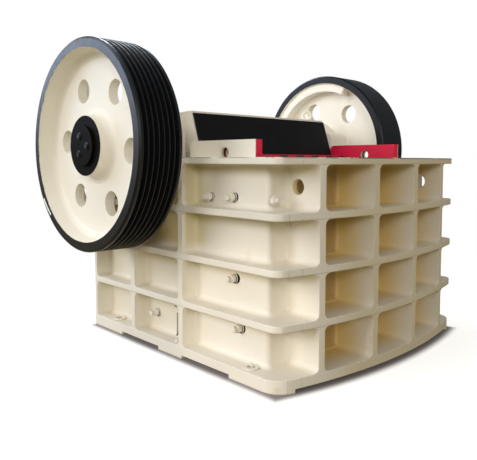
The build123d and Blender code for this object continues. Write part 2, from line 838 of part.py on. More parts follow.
def wheels():
    """Plain flywheel on the right and the grooved belt wheel on the left."""
    blank = with_holes(turned(wheel_outline()))
    keep("flywheel", blank)
    first = wheel_middle_x - groove_pitch * (groove_count - 1) / 2
    for index in range(groove_count):
        blank = blank - groove(first + index * groove_pitch)
    keep("belt_wheel", mirrored(blank))


def counterweights():
    """Ring segment inside the rim on the inboard side of each wheel."""
    rear = wheel_middle_x - web_thickness / 2
    front = rear - weight_width
    root = rim_inner_radius - rim_draft
    slope = rim_draft / (rear - wheel_inner_x)
    face = make_face(Polyline(
        (front, root + slope * weight_width), (rear, root), (rear, root - weight_thickness),
        (front, root - weight_thickness), close=True))
    ring = revolve(face, Axis.X, revolution_arc=weight_span)
    turn = Rot(throw_angle - 180 - weight_span / 2, 0, 0)
    keep_pair("counterweight", Pos(0, shaft_y, shaft_z) * turn * ring)


def end_discs():
    """Clamp disc and smaller end cap on each end of the shaft."""
    disc_x = hub_outer_x + end_disc_thickness
    disc = rod_x_axis(end_disc_radius, hub_outer_x, disc_x, shaft_y, shaft_z)
    cap = rod_x_axis(end_cap_radius, disc_x, disc_x + end_cap_thickness, shaft_y, shaft_z)
    keep_pair("end_disc", disc + cap)


def build_all():
    frame_plates()
    base_plates()
    front_ribs()
    side_ribs()
    rear_ribs()
    end_walls()
    side_walls()
    fixed_jaw()
    moving_jaw()
    cheek_plates()
    housings()
    lifting_eyes()
    shaft()
    pitman()
    guard()
    toggle()
    tension_gear()
    wheels()
    counterweights()
    end_discs()


build_all()
os.makedirs("parts", exist_ok=True)
for name, shape in made.items():
    export_step(shape, "parts/" + name + ".step")
    print(name, round(shape.volume / 1e6, 2), "litres")
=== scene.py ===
import json
import math
import bpy
import numpy as np
from mathutils import Matrix, Vector


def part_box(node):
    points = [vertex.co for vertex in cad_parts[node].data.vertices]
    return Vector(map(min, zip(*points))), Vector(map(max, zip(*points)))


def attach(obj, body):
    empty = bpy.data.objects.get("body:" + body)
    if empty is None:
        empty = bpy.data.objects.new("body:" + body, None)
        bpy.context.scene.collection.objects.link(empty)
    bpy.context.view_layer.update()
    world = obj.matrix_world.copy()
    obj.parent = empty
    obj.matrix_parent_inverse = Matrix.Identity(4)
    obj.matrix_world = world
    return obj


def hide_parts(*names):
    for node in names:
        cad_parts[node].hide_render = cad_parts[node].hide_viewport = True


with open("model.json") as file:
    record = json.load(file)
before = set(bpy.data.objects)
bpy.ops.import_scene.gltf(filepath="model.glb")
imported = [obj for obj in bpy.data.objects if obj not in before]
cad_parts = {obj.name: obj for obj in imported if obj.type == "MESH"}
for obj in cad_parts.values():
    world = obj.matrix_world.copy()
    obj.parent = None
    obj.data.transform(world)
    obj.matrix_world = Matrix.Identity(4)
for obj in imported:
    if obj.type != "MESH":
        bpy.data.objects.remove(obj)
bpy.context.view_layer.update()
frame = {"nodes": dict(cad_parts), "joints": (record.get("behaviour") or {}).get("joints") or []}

# Sizes of the castings, in metres

tier_count = 4
front_reach = 0.170
front_bow = 0.043
pocket_fillet = 0.022
wall_corner = 0.022
front_rib = 0.028
end_rib_count = 4
side_rib = 0.030
side_rib_offsets = (-0.3635, 0.0205)
end_rib = 0.030
saddle_half = 0.190
slot_offset = -0.2345
slot_half = 0.006
slot_top = 0.110
ridge_pitch = 0.125
cheek_hole_run = 0.189
cheek_hole_rise = 0.020
cheek_hole_radius = 0.024
rim_inner_radius = 0.434
rim_root_radius = 0.420
rim_inner_x = 0.737
rim_fillet = 0.034
web_half = 0.023
hub_radius = 0.138
hub_fillet = 0.039
seat_sink = 0.0003  # how deep an added piece sits in what carries it, so that no gap shows

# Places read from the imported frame, in metres

deck_low, deck_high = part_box("top_flange_front")
deck_z = deck_high.z
plate_thickness = deck_z - deck_low.z
tier_height = deck_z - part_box("shelves_front")[1].z
base_z = deck_z - tier_count * tier_height
underside = tier_height - plate_thickness  # of a plate, above the top of the plate below it
wall_low, wall_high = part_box("side_wall_right")
wall_inner_x, wall_outer_x = wall_low.x, wall_high.x
wall_front_y, side_wall_rear_y = wall_low.y, wall_high.y
side_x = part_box("base_flange_right")[1].x
rear_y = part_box("top_flange_rear")[1].y
front_edge_y = wall_front_y - front_reach
outer_rib_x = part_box("ribs_front")[1].x - pocket_fillet - front_rib / 2
bow_radius = (outer_rib_x**2 + front_bow**2) / (2 * front_bow)
bow_centre_y = front_edge_y - front_bow + bow_radius

joint_place = {joint["name"]: Vector(joint["pos_m"]) for joint in frame["joints"]}
shaft_y, shaft_z = joint_place["shaft_spin"].y, joint_place["shaft_spin"].z
side_rib_ys = [shaft_y + offset for offset in side_rib_offsets]
saddle_low, saddle_high = shaft_y - saddle_half, shaft_y + saddle_half
slot_y, slot_top_z = shaft_y + slot_offset, base_z + slot_top

wheel_low, wheel_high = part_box("belt_wheel")
wheel_outer_x = -wheel_low.x
wheel_radius = (wheel_high.z - wheel_low.z) / 2
web_x = (rim_inner_x + wheel_outer_x) / 2
cap_outer_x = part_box("end_disc_right")[1].x
cover_outer_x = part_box("bearing_cover_right")[1].x

cheek_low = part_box("cheek_plate_right")[0]
chamber_half = cheek_low.x
cheek_hole_y, cheek_hole_z = cheek_low.y + cheek_hole_run, deck_z + cheek_hole_rise


# Shader maths: a socket that takes arithmetic, and a tree that makes its nodes

class Signal:
    """A number that varies over a surface. Arithmetic on it adds Math nodes to its tree."""

    def __init__(self, tree, socket):
        self.tree = tree
        self.socket = socket

    def __add__(self, other):
        return self.tree.maths("ADD", self, other)

    def __radd__(self, other):
        return self.tree.maths("ADD", other, self)

    def __sub__(self, other):
        return self.tree.maths("SUBTRACT", self, other)

    def __rsub__(self, other):
        return self.tree.maths("SUBTRACT", other, self)

    def __mul__(self, other):
        return self.tree.maths("MULTIPLY", self, other)

    def __rmul__(self, other):
        return self.tree.maths("MULTIPLY", other, self)

    def __truediv__(self, other):
        return self.tree.maths("DIVIDE", self, other)

    def __pow__(self, other):
        return self.tree.maths("POWER", self, other)

    def __abs__(self):
        return self.tree.maths("ABSOLUTE", self, 0.0)


class ShaderTree:
    """A node tree with one method that adds any node, and short names for the common ones."""

    def __init__(self, owner):
        owner.use_nodes = True
        self.nodes = owner.node_tree.nodes
        self.links = owner.node_tree.links
        self.nodes.clear()

    def node(self, kind, settings=None, inputs=None, output=0):
        """Add a node, apply its settings, then give its sockets their values or links."""
        made = self.nodes.new(kind)
        for key, value in (settings or {}).items():
            setattr(made, key, value)
        for key, value in (inputs or {}).items():
            if isinstance(value, Signal):
                self.links.new(value.socket, made.inputs[key])
            else:
                made.inputs[key].default_value = value
        return Signal(self, made.outputs[output]) if made.outputs else made

    def maths(self, operation, first, second):
        return self.node("ShaderNodeMath", {"operation": operation}, {0: first, 1: second})

    def larger(self, first, second):
        return self.maths("MAXIMUM", first, second)

    def smaller(self, first, second):
        return self.maths("MINIMUM", first, second)

    def times(self, vector, other):
        """Product of two vectors or colours, number by number."""
        return self.node("ShaderNodeVectorMath", {"operation": "MULTIPLY"}, {0: vector, 1: other})

    def place(self):
        """X, Y and Z of the surface in the row frame."""
        at = self.node("ShaderNodeTexCoord", output="Object")
        split = self.node("ShaderNodeSeparateXYZ", None, {0: at})
        return [Signal(self, socket) for socket in split.socket.node.outputs]

    def noise(self, scale, detail=3.0, stretch=(1, 1, 1)):
        """Fractal noise from 0 to 1 with about scale blots a metre."""
        at = self.times(self.node("ShaderNodeTexCoord", output="Object"), stretch)
        return self.node("ShaderNodeTexNoise", None,
                         {"Vector": at, "Scale": scale, "Detail": detail})

    def step(self, value, start, end):
        """0 at start and 1 at end with a smooth run between, also where end is the lower one."""
        low, high = min(start, end), max(start, end)
        found = self.node("ShaderNodeMapRange", {"interpolation_type": "SMOOTHSTEP"},
                          {"Value": value, "From Min": low, "From Max": high})
        return found if start < end else 1 - found

    def blots(self, scale, detail, start, end, stretch=(1, 1, 1)):
        """1 in scattered blots where the noise is past end, 0 where it is short of start."""
        return self.step(self.noise(scale, detail, stretch), start, end)

    def mixed(self, amount, first, second):
        """Colour between first, at 0, and second, at 1."""
        return self.node("ShaderNodeMix", {"data_type": "RGBA"},
                         {0: amount, 6: first, 7: second}, output=2)

    def layered(self, colour, layers):
        """A colour under layers of (amount, tint), each over the last."""
        for amount, tint in layers:
            colour = self.mixed(amount, colour, tint)
        return colour

    def toned(self, colour, factor):
        """Colour made lighter or darker by a varying factor."""
        colour = colour if isinstance(colour, Signal) else colour[:3]
        grey = self.node("ShaderNodeCombineXYZ", None, {0: factor, 1: factor, 2: factor})
        return self.times(colour, grey)

    def outer_edge(self, x, y):
        """Distance inside the plates' outline: bowed front, straight sides and rear."""
        from_centre = (x * x + (y - bow_centre_y) * (y - bow_centre_y)) ** 0.5
        from_bow = bow_radius - from_centre
        from_side = side_x - abs(x)
        from_rear = rear_y - y
        return self.smaller(self.smaller(from_bow, from_side), from_rear)


def rgb(red, green, blue):
    """Linear colour from the 0 to 255 values of a screen colour."""
    return tuple((v / 255 / 12.92 if v < 10.3 else ((v / 255 + 0.055) / 1.055) ** 2.4)
                 for v in (red, green, blue)) + (1.0,)


CREAM = rgb(240, 234, 221)
CREAM_PALE = rgb(252, 250, 244)
CREAM_DEEP = rgb(222, 211, 184)
# The next four colours are painted shade in the frame's pockets and under its plates
CREAM_SHADE = rgb(206, 192, 132)
CREAM_POCKET_SHADE = rgb(230, 204, 138)
POCKET_SHADE_DEEP = rgb(178, 147, 94)
BAY_SHADE_BROWN = rgb(194, 158, 100)
SEAM = rgb(150, 141, 118)
# Dark of paint chips on the deck's rim, and of painted shade round the slot, on the jaw header and
# in the cheek holes
CHIP_AND_SHADE = rgb(46, 40, 36)
RED = rgb(220, 24, 68)
RED_DEEP = rgb(150, 12, 42)
BLACK = rgb(16, 17, 20)
# Rubbed and dusty black paint, also the painted sheen on the wheels' crests
BLACK_WORN_AND_SHEEN = rgb(44, 46, 51)
BROWN_BLACK = rgb(15, 12, 9)
BROWN_WORN = rgb(44, 38, 32)
STEEL = rgb(150, 148, 144)
IRON = rgb(92, 88, 84)
RUST = rgb(122, 72, 44)


class Finish(ShaderTree):
    """A material with one Principled shader."""

    def __init__(self, name, gloss=0.5):
        self.material = bpy.data.materials.new(name)
        super().__init__(self.material)
        surface = self.node("ShaderNodeBsdfPrincipled", None, {"Specular IOR Level": gloss})
        self.node("ShaderNodeOutputMaterial", None, {0: surface})
        self.shader = surface.socket.node

    def give(self, name, value):
        """Feed one of the shader's sockets with a varying value."""
        self.links.new(value.socket, self.shader.inputs[name])

    def bumped(self, height, distance, bevel=0.0):
        """Relief: height times distance, in metres, over edges that a small bevel softens."""
        inputs = {"Height": height, "Distance": distance, "Strength": 1.0}
        if bevel:
            inputs["Normal"] = self.node("ShaderNodeBevel", {"samples": 4}, {"Radius": bevel})
        self.give("Normal", self.node("ShaderNodeBump", None, inputs))

    def cast_skin(self):
        """Relief of painted sand casting: fine grain and pitting on slow waves."""
        grain, pitting, waves = self.noise(260, 2), self.noise(38, 3), self.noise(9, 2)
        return grain * 0.22 + pitting * 0.5 + waves * 0.9

    def cream_paint(self):
        """Cream enamel: slow mottling, with thin deeper patches where the coat is dirty."""
        self.mottle = 0.955 + self.noise(3.5, 4) * 0.09
        dirt = self.blots(11, 6, 0.60, 0.78) * 0.35
        return self.mottled(self.mixed(dirt, CREAM, CREAM_DEEP))

    def mottled(self, colour):
        """A colour with the cream enamel's mottling."""
        return self.toned(colour, self.mottle)


# Places on the frame's castings where the colour changes, most of them painted shade: each is 1
# there and 0 elsewhere

class FramePaint(Finish):
    """Finish of the frame, with the place of each point on it. All lengths are in metres."""

    def locate(self):
        """Distances that the places below are told by."""
        self.x, self.y, self.z = self.place()
        self.inside = self.outer_edge(self.x, self.y)
        self.above_plate = self.maths("MODULO", self.z - base_z + tier_height, tier_height)
        self.below_deck = self.step(self.z, deck_z - 0.001, deck_z - 0.002)

    def plate_edge(self, base):
        """Distance from the nearest level face of a plate, or of the base on its pads."""
        if base:
            return self.smaller(abs(base_z - self.z), self.z)
        from_top = self.smaller(self.above_plate, tier_height - self.above_plate)
        return self.smaller(from_top, abs(self.above_plate - underside))

    def front_pocket_shade(self):
        """Painted shade deep in the pockets of the bowed front."""
        edge, back = 0.006, 0.17
        between = self.step(abs(self.x), outer_rib_x + 0.006, outer_rib_x - 0.004)
        before = self.step(self.y, wall_front_y + 0.012, wall_front_y + 0.002)
        return self.step(self.inside, edge, back) * between * before * self.below_deck

    def front_edge_shade(self):
        """Painted shade on the open front edges of ribs and plates, more so towards +X."""
        edge = self.step(self.inside, 0.004, 0.001)
        before = self.step(self.y, wall_front_y - 0.08, wall_front_y - 0.11)
        fade_start, fade_end = -outer_rib_x - 0.06, -outer_rib_x + 0.22
        return edge * before * self.step(self.x, fade_start, fade_end)

    def side_pocket_shade(self, deep, start, end):
        """Painted shade deep in the side pockets, coming on between two distances from the first
        side rib.
        """
        edge, rib_y = 0.008, side_rib_ys[0]
        outside = self.step(abs(self.x), wall_inner_x, wall_inner_x + 0.03)
        behind = self.step(self.y, rib_y + start, rib_y + end)
        return self.step(self.inside, edge, deep) * outside * behind * self.below_deck

    def upper_tiers(self):
        """The upper half of the frame, where the side bays get the belt wheel's painted shadow."""
        middle_z, fade = base_z + tier_count / 2 * tier_height, 0.06
        return self.step(self.z, middle_z, middle_z + fade)

    def under_plate_shade(self):
        """Painted shade just below the level plates, back from their edges."""
        edge, back, reach = 0.006, 0.03, 0.06
        near = self.step(self.above_plate, underside - reach, underside - 0.004)
        below = self.step(self.above_plate, underside + 0.003, underside + 0.001)
        return near * below * self.step(self.inside, edge, back) * self.below_deck

    def slot_shade(self):
        """Painted shade round the narrow slot, on the fillet at its foot, and on a short nick above
        it.
        """
        slot = self.step(abs(self.y - slot_y), slot_half + 0.0032, slot_half + 0.0002) * \
            self.step(self.z, slot_top_z + 0.003, slot_top_z + 0.001)
        nick_y, nick_z = slot_y + 0.010, slot_top_z + 0.031
        half_width, half_height = 0.012, 0.003
        nick = self.step(abs(self.y - nick_y), half_width + 0.003, half_width) * \
            self.step(abs(self.z - nick_z), half_height + 0.001, half_height)
        on_wall = self.step(abs(self.x), wall_outer_x - 0.002, wall_outer_x - 0.001) * \
            self.step(abs(self.x), wall_outer_x + 0.012, wall_outer_x + 0.004)
        return self.larger(slot, nick) * on_wall

    def specks(self, level):
        """Pale specks along the plates' outer edges."""
        near_edge = self.step(level, 0.004, 0.001) * self.step(self.inside, 0.010, 0.004)
        return self.blots(85, 5, 0.56, 0.62) * near_edge

    def seams(self):
        """Broken seam lines across the plates' front edges, on both sides of each wall's face."""
        seam_offset = 0.0305
        from_seam = abs(abs(abs(self.x) - wall_outer_x) - seam_offset)
        line = self.step(from_seam, 0.0016, 0.0006) * self.blots(30, 3, 0.38, 0.55)
        before = self.step(self.y, wall_front_y - 0.1, wall_front_y - 0.13)
        edge = self.step(self.inside, 0.006, 0.002)
        return line * before * edge

    def chips(self):
        """Dark chips on the deck's rim, fainter at its left end."""
        faint, strong = 0.45, 0.80
        rim = self.step(self.z, deck_z - 0.0060, deck_z - 0.0030) * \
            self.step(self.inside, 0.008, 0.003)
        chipped = self.step(self.noise(13, 8) + self.noise(70, 3) * 0.3, 0.57, 0.61)
        from_left = self.step(self.x, -0.60, -0.20)
        return chipped * rim * (faint + from_left * (strong - faint))

    def rounding(self, distance):
        """How far a point falls by the rounding of an edge: distance inside it, squared."""
        soft = 0.004
        lip = self.larger(soft - distance, 0.0)
        return lip * lip / (2 * soft)


def cast_cream(name, plates=False, base=False):
    """Cream painted casting, with yellower painted shade in its pockets, on its front edges and
    under its plates. Plates get softened edges, pale specks and seams along them, and dark chips on
    the deck's rim.
    """
    made = FramePaint(name)
    made.locate()
    colour = made.cream_paint()
    front = made.front_pocket_shade()
    back_wall_shade = front * made.step(made.y, wall_front_y - 0.016, wall_front_y - 0.003)
    rear_bay_shade = made.side_pocket_shade(deep=0.06, start=0.0, end=0.03)
    beside_bay_shade = made.side_pocket_shade(deep=0.03, start=-0.13, end=-0.02)
    upper = made.upper_tiers()
    # Painted shade: tan in the front pockets and deeper on their back walls; deeper cream and brown
    # in the side bay behind the first side rib and yellower beside it, in the belt wheel's shadow;
    # deeper cream on the front edges; yellower under the plates; dark round the slot
    colour = made.layered(colour, [
        (front, made.mottled(CREAM_POCKET_SHADE)),
        (back_wall_shade, made.mottled(POCKET_SHADE_DEEP)),
        (rear_bay_shade * 0.4, CREAM_DEEP),
        (rear_bay_shade * upper * 0.75, BAY_SHADE_BROWN),
        (beside_bay_shade * upper * 0.6, CREAM_SHADE),
        (made.front_edge_shade(), made.mottled(CREAM_DEEP)),
        (made.under_plate_shade() * 0.55, CREAM_SHADE),
        (made.slot_shade() * 0.8, CHIP_AND_SHADE)])
    fall = made.rounding(made.inside)
    if plates:
        level = made.plate_edge(base)
        fall = fall + made.rounding(level)
        colour = made.layered(colour, [
            (made.specks(level) * 0.8, CREAM_PALE),
            (made.seams() * 0.6, SEAM),
            (made.chips(), CHIP_AND_SHADE)])
    made.give("Base Color", colour)
    made.give("Roughness", 0.36 + made.noise(24, 3) * 0.2)
    made.bumped(made.cast_skin() * 0.0005 - fall, 1.0)
    return made.material


def machined_cream(name):
    """Cream painted fittings, with the same skin over softened edges."""
    made = Finish(name)
    made.give("Base Color", made.cream_paint())
    made.give("Roughness", 0.36 + made.noise(24, 3) * 0.2)
    made.bumped(made.cast_skin(), 0.0005, 0.003)
    return made.material


def rim_scrape(made, x, angle, radius):
    """1 on the scrape on the belt wheel's rim: an arc that drifts outwards, with ragged sides."""
    middle_angle, half_angle = -0.700, 0.115
    middle_radius, half_width, drift = 0.4585, 0.0095, 0.030
    off = abs(angle - middle_angle)
    along = made.step(off, half_angle + 0.007, half_angle - 0.007)
    middle = middle_radius + (angle - middle_angle) * drift
    ragged = abs(radius - middle) + made.noise(60, 4) * 0.008
    width = made.step(ragged, half_width + 0.001, half_width - 0.001)
    outer_face = made.step(x, -wheel_outer_x + 0.004, -wheel_outer_x + 0.001)
    return along * width * made.blots(90, 3, 0.33, 0.38) * outer_face


def wheel_paint(name, grooved):
    """Black enamel on the rim and cream inside it, by the distance from the shaft."""
    made = Finish(name, gloss=0.42 if grooved else 0.2)
    x, y, z = made.place()
    dy, dz = y - shaft_y, z - shaft_z
    radius = (dy * dy + dz * dz) ** 0.5
    paint_line = radius + made.noise(30, 3) * 0.0016
    black = made.step(paint_line, rim_inner_radius + 0.0002, rim_inner_radius + 0.0012)
    wear = made.blots(48, 5, 0.52, 0.72)
    # Crests lighter: rubbed paint, and a painted sheen where light catches them
    crest_wear_and_sheen = made.step(radius, wheel_radius - 0.0022, wheel_radius - 0.0004)
    dark = made.mixed(wear * 0.2 + crest_wear_and_sheen * 0.25, BLACK, BLACK_WORN_AND_SHEEN)
    if grooved:
        angle = made.maths("ARCTAN2", dz, dy)
        dark = made.mixed(rim_scrape(made, x, angle, radius), dark, CREAM_PALE)
    made.give("Base Color", made.mixed(black, made.cream_paint(), dark))
    made.give("Roughness", 0.40 - black * 0.1 + made.noise(20, 3) * 0.16)
    made.bumped(made.cast_skin() * (1 - black * 0.93), 0.0005, 0.0015)
    return made.material


def header_valley_shade(made, x, z):
    """1 on dark marks of painted shade at every ridge's pitch along the moving jaw's header, from
    near
    its middle to the right: the shade of the valleys' heads."""
    ridge = (x + 0.012) / ridge_pitch + 0.5
    ragged = (made.noise(25, 3) - 0.5) * 0.12
    from_mark = abs(made.maths("FRACT", ridge, 0.0) - 0.5) + ragged
    marks = made.step(from_mark, 0.27, 0.22) * made.step(x, -0.10, -0.06)
    below = made.step(z, deck_z + 0.015, deck_z + 0.013)
    return marks * below * made.step(z, deck_z - 0.02, deck_z - 0.01)


def cheek_layers(made, x, y, z):
    """Cream on a cheek's outside, and the bore of its hole: dark painted shade within, deep red at
    its bottom, cream at both mouths.
    """
    over = abs(x) + made.noise(60, 3) * 0.003
    outside = made.step(over, wall_inner_x - 0.0035, wall_inner_x + 0.0008)
    dy, dz = y - cheek_hole_y, z - cheek_hole_z
    from_hole = (dy * dy + dz * dz) ** 0.5
    bore = made.step(from_hole, cheek_hole_radius + 0.0006, cheek_hole_radius + 0.0002)
    middle_x = chamber_half + 0.020
    mouth = made.step(abs(abs(x) - middle_x), 0.0065, 0.0085)
    bore_shade = made.mixed(made.step(dz, -0.010, -0.014), CHIP_AND_SHADE, RED_DEEP)
    return [(outside, made.cream_paint()), (bore, made.mixed(mouth, bore_shade, CREAM_DEEP))]


def liner_paint(name, cheek=False, header=False):
    """Red primer on manganese steel: cast skin, scuffs, scratches and darker patches."""
    made = Finish(name)
    x, y, z = made.place()
    scuff = made.blots(14, 6, 0.55, 0.75, (1, 1, 4))
    colour = made.toned(made.mixed(scuff * 0.5, RED, RED_DEEP), 0.92 + made.noise(6, 3) * 0.16)
    scratch = made.blots(160, 3, 0.70, 0.76, (1, 0.15, 1)) * made.blots(7, 2, 0.5, 0.62)
    colour = made.mixed(scratch * 0.35, colour, CREAM)
    # The moving jaw's header gets dark marks of painted shade
    if header:
        colour = made.mixed(header_valley_shade(made, x, z), colour, CHIP_AND_SHADE)
    if cheek:
        colour = made.layered(colour, cheek_layers(made, x, y, z))
    made.give("Base Color", colour)
    made.give("Roughness", 0.32 + made.noise(22, 4) * 0.26)
    made.bumped(made.cast_skin(), 0.0006, 0.002)
    return made.material


def black_paint(name, roughness, gloss, fresh=BLACK, worn=BLACK_WORN_AND_SHEEN):
    """Satin black enamel with faint dust and rubbed places."""
    made = Finish(name, gloss)
    dust = made.blots(5, 6, 0.45, 0.8) * 0.22 + made.blots(70, 4, 0.6, 0.75) * 0.12
    made.give("Base Color", made.mixed(dust, fresh, worn))
    made.give("Roughness", roughness - 0.06 + made.noise(16, 4) * 0.16)
    made.bumped(made.noise(180, 2) * 0.3 + made.noise(20, 3), 0.0003, 0.0015)
    return made.material


def turned_steel(name, rusty=0.0, roughness=0.3):
    """Machined steel: fine turning lines across X, an oil film and some rust."""
    made = Finish(name)
    lines = made.noise(220, 2, (6, 0.2, 0.2))
    rust = made.blots(18, 6, 0.72 - rusty, 0.86 - rusty)
    made.give("Base Color", made.mixed(rust, made.toned(STEEL, 0.8 + lines * 0.4), RUST))
    made.give("Metallic", 1 - rust)
    made.give("Roughness", roughness + rust * 0.4 + lines * 0.12)
    made.bumped(lines, 0.00012, 0.001)
    return made.material


def bare_iron(name):
    """Dark cast iron with a sandy skin and rust in the hollows."""
    made = Finish(name)
    rust = made.blots(13, 6, 0.48, 0.7)
    iron = made.toned(IRON, 0.8 + made.noise(30, 4) * 0.4)
    made.give("Base Color", made.mixed(rust * 0.6, iron, RUST))
    made.give("Roughness", 0.5 + rust * 0.25)
    made.bumped(made.cast_skin(), 0.0007, 0.0015)
    return made.material


# Meshes: rings and paths as whole arrays

def gathered(parts):
    """One vertex array and one face list from several of each."""
    vertices, faces, start = [], [], 0
    for points, loops in parts:
        vertices.append(points)
        faces += [[int(i) + start for i in loop] for loop in loops]
        start += len(points)
    return np.concatenate(vertices), faces


def piece(name, parts, material, body, crease=35):
    """Object from gathered parts that rides on a body. Edges sharper than the crease stay sharp."""
    vertices, faces = gathered(parts)
    mesh = bpy.data.meshes.new(name)
    mesh.from_pydata(vertices.tolist(), [], faces)
    mesh.update()
    mesh.shade_smooth()
    mesh.set_sharp_from_angle(angle=math.radians(crease))
    mesh.materials.append(material)
    made = bpy.data.objects.new(name, mesh)
    bpy.context.scene.collection.objects.link(made)
    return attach(made, body)


def mirrored(parts):
    """The same parts on the other side of the centre plane, with their faces still outwards."""
    return [(points * np.array([-1, 1, 1]), [loop[::-1] for loop in loops])
            for points, loops in parts]


def piece_pair(name, side, parts, material, body):
    """Parts on one side of the object as a piece, and mirrored on the other as a second one."""
    other = {"left": "right", "right": "left"}[side]
    piece(f"{name}_{side}", parts, material, body)
    piece(f"{name}_{other}", mirrored(parts), material, body)


def skin(rows, columns, wrap_rows=False, flip=False):
    """Quads over a grid of points whose columns close on themselves."""
    last = rows if wrap_rows else rows - 1
    row, column = np.meshgrid(np.arange(last), np.arange(columns), indexing="ij")
    below, beside = (row + 1) % rows, (column + 1) % columns
    quads = np.stack([row * columns + column, row * columns + beside,
                      below * columns + beside, below * columns + column], axis=-1).reshape(-1, 4)
    return quads[:, ::-1].tolist() if flip else quads.tolist()


def end_faces(rows, columns, flip=False):
    """Faces that close the first and the last ring of such a grid."""
    ends = [list(range(columns))[::-1], list(range((rows - 1) * columns, rows * columns))]
    return [end[::-1] for end in ends] if flip else ends


def across(axis):
    """Two unit vectors square to an axis, so that the three turn right-handed."""
    axis = np.array(axis, float)
    start = np.array([0, 0, 1.0]) if abs(axis[2]) < 0.9 else np.array([0, 1.0, 0])
    first = np.cross(start, axis)
    first /= np.linalg.norm(first)
    return first, np.cross(axis, first)


def spokes(turn, axis):
    """Unit vectors square to an axis at each turn: cosine and sine times the two across it."""
    first, second = across(axis)
    return np.cos(turn)[:, None] * first + np.sin(turn)[:, None] * second


def turned_solid(outline, place, axis, count=32, flats=0):
    """Rings of (distance along the axis, radius), closed by flat ends. With flats, the radius at
    each angle is the lesser of the ring's own and flat distance / cosine of the angle from that
    flat's middle."""
    outline = np.array(outline, float)
    turn = np.arange(count) * 2 * np.pi / count
    radius = np.repeat(outline[:, 1:2], count, axis=1)
    if flats:
        part = 2 * np.pi / flats
        off = (turn + part / 2) % part - part / 2
        width = outline[:, 1].max() * np.cos(part / 2)
        radius = np.minimum(radius, width / np.cos(off))
    points = np.array(place) + outline[:, 0, None, None] * np.array(axis) \
        + radius[:, :, None] * spokes(turn, axis)
    rows = len(outline)
    return points.reshape(-1, 3), skin(rows, count) + end_faces(rows, count)


def turned_ring(outline, place, axis, count=96):
    """Closed loop of (distance along the axis, radius) carried round the axis."""
    outline = np.array(outline, float)
    turn = np.arange(count) * 2 * np.pi / count
    points = np.array(place) + outline[:, 0, None, None] * np.array(axis) \
        + outline[:, 1, None, None] * spokes(turn, axis)
    along, radius = outline.T
    area = np.sum(along * np.roll(radius, -1) - np.roll(along, -1) * radius)
    return points.reshape(-1, 3), skin(len(outline), count, wrap_rows=True, flip=area > 0)


def corner_arc(opening, radius, steps):
    """Weights of two arms for a concave fillet section: the corner itself, then the arc from arm
    to arm. Its centre is the sum of both arms times radius / sine of the angle between them."""
    reach = radius / math.tan(opening / 2)
    centre = radius / math.sin(opening)
    share = np.linspace(0, 1, steps + 1)[:, None]
    sweep = math.pi - opening
    start = np.array([reach - centre, -centre])
    end = np.array([-centre, reach - centre])
    turned = np.sin((1 - share) * sweep) * start + np.sin(share * sweep) * end
    return np.concatenate([[[0, 0]], turned / math.sin(sweep) + centre])


def fillet_bead(path, arm_a, arm_b, radius=pocket_fillet, steps=6):
    """Concave bead in a square corner: the fillet section carried along a path of corner points."""
    path = np.array(path, float)
    arm_a = np.broadcast_to(np.array(arm_a, float), path.shape)
    arm_b = np.broadcast_to(np.array(arm_b, float), path.shape)
    weights = corner_arc(math.pi / 2, radius, steps)
    origin = path - seat_sink * (arm_a + arm_b)
    points = (origin[:, None, :] + weights[None, :, 0, None] * arm_a[:, None, :]
              + weights[None, :, 1, None] * arm_b[:, None, :])
    rows, columns = points.shape[:2]
    flip = bool(np.dot(np.cross(arm_a[0], arm_b[0]), path[1] - path[0]) < 0)
    return points.reshape(-1, 3), skin(rows, columns, flip=flip) + end_faces(rows, columns, flip)


# Fillets in the pockets of the frame

X, Y, Z = np.eye(3)


def tier_levels():
    """Floor and ceiling of each tier of pockets."""
    floors = [base_z + tier * tier_height for tier in range(tier_count)]
    return [(floor, floor + underside) for floor in floors]


def upright_bead(x, y, floor, ceiling, arm_a, arm_b):
    """Bead up the corner between a wall and a rib."""
    return fillet_bead([[x, y, floor], [x, y, ceiling]], arm_a, arm_b)


def level_beads(path, outward, floor, ceiling):
    """Beads along a wall, on the plate under the pocket and under the plate above it."""
    path = np.array(path, float)
    return [fillet_bead(path + Z * floor, outward, Z), fillet_bead(path + Z * ceiling, outward, -Z)]


def bay_fillets(bays, wall_y, outward):
    """Beads round the back of every pocket on an end wall. A bay is the X of its two sides."""
    parts = []
    for floor, ceiling in tier_levels():
        for left, right in bays:
            parts.append(upright_bead(left, wall_y, floor, ceiling, X, outward))
            parts.append(upright_bead(right, wall_y, floor, ceiling, -X, outward))
            parts += level_beads([[left, wall_y, 0], [right, wall_y, 0]], outward, floor, ceiling)
    return parts


def rib_bays():
    """The X of both sides of each bay between the upright ribs of an end wall."""
    gaps = end_rib_count - 1
    ribs = [outer_rib_x * (2 * rib / gaps - 1) for rib in range(end_rib_count)]
    return [(left + front_rib / 2, right - front_rib / 2) for left, right in zip(ribs, ribs[1:])]


def front_fillets():
    """Beads in the front wall's bays, and outside its outer ribs."""
    parts = bay_fillets(rib_bays(), wall_front_y, -Y)
    outer_side = outer_rib_x + front_rib / 2
    for floor, ceiling in tier_levels():
        for sign in (-1, 1):
            parts.append(upright_bead(sign * outer_side, wall_front_y, floor, ceiling,
                                      X * sign, -Y))
    return parts


def rear_fillets():
    """Beads in the bays behind the rear wall, up to the side walls. They stand at the side walls'
    rear ends, level with the ribs' open edges, and not on the rear wall's own face."""
    rear_side = outer_rib_x + front_rib / 2
    outer_bays = [(-wall_inner_x, -rear_side), (rear_side, wall_inner_x)]
    return bay_fillets(rib_bays() + outer_bays, side_wall_rear_y, Y)


